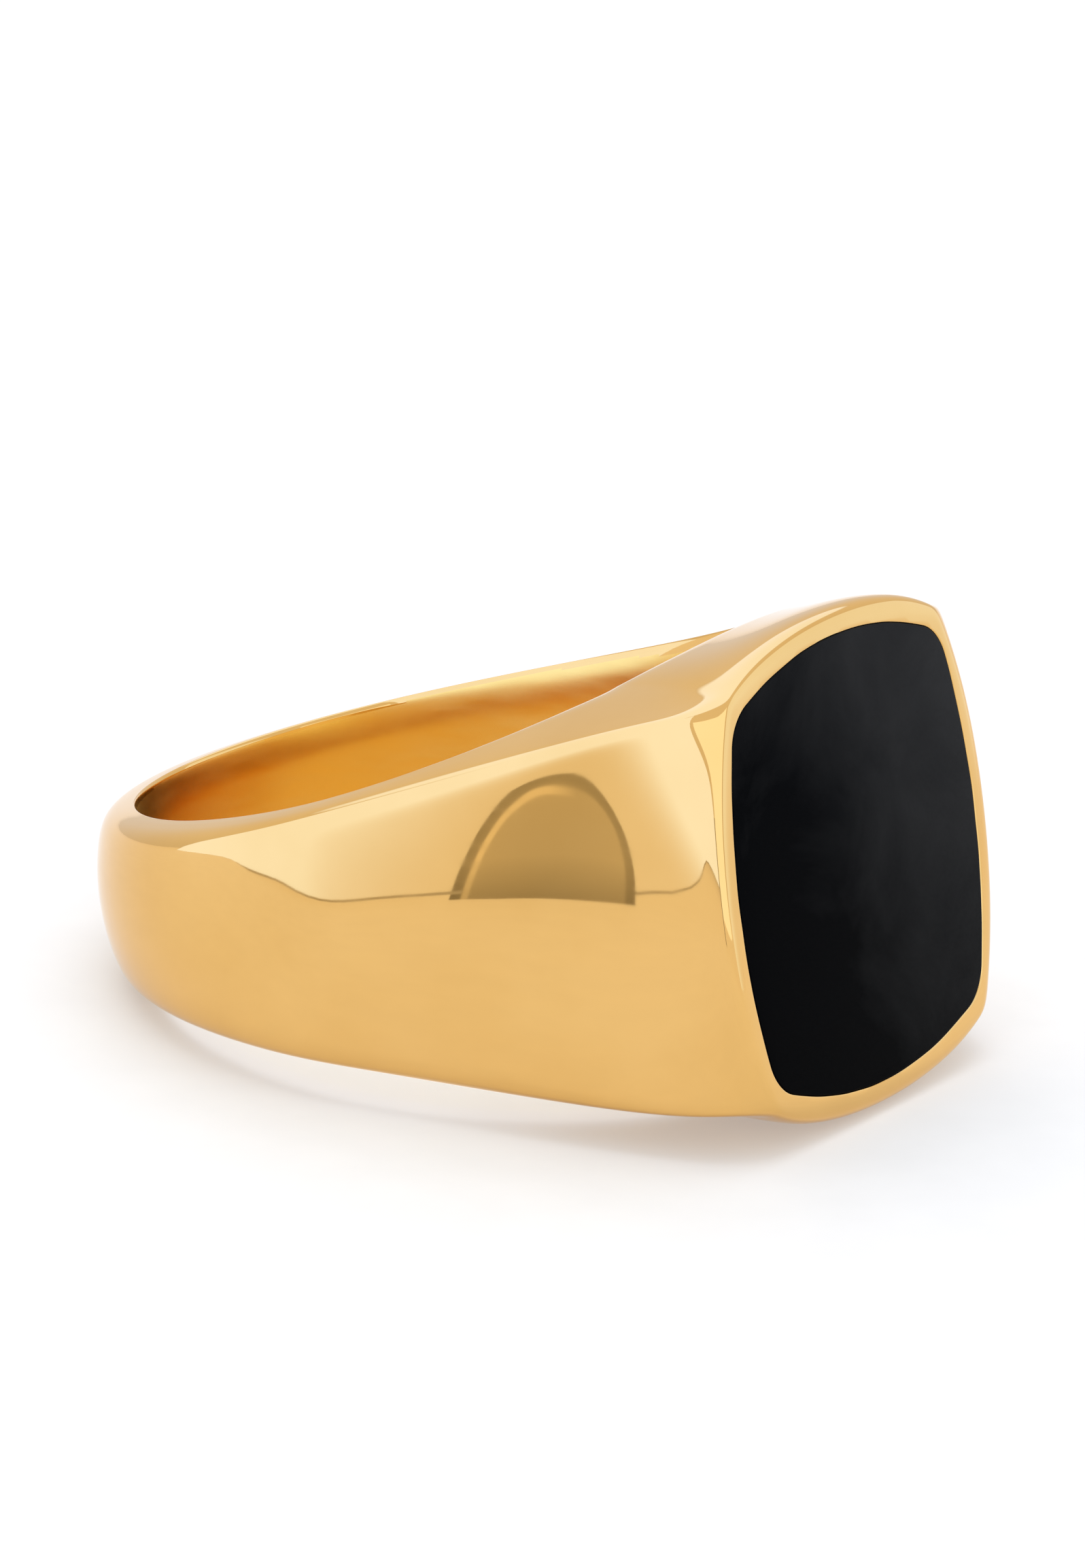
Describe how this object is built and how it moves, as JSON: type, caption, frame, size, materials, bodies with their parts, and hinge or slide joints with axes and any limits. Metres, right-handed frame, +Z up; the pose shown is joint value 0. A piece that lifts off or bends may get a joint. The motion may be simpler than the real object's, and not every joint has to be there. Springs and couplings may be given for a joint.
{
  "type": "signet ring",
  "caption": "Signet ring with a flat cushion-shaped head, a flush black stone tablet and a tapering shank, lying on its side.",
  "frame": {"origin": "bottom centre of the ring's box as it lies on its side on a table", "axes": "+Z is up from the table, the stone's face looks along -Y and a little upwards, and +X runs across the face, so X = 0 is the mirror plane; the finger axis is +Z tipped towards +Y by the tilt at which the ring rests"},
  "size_m": [0.0228, 0.0262, 0.0148],
  "materials": {
    "gold": "polished gold plate over a solid casting",
    "onyx": "satin black, faintly cloudy",
    "cement": "cured epoxy film"
  },
  "bodies": {
    "root": {"ring_body": "gold", "onyx_inlay": "onyx", "cement_bed": "cement"}
  },
  "joints": []
}
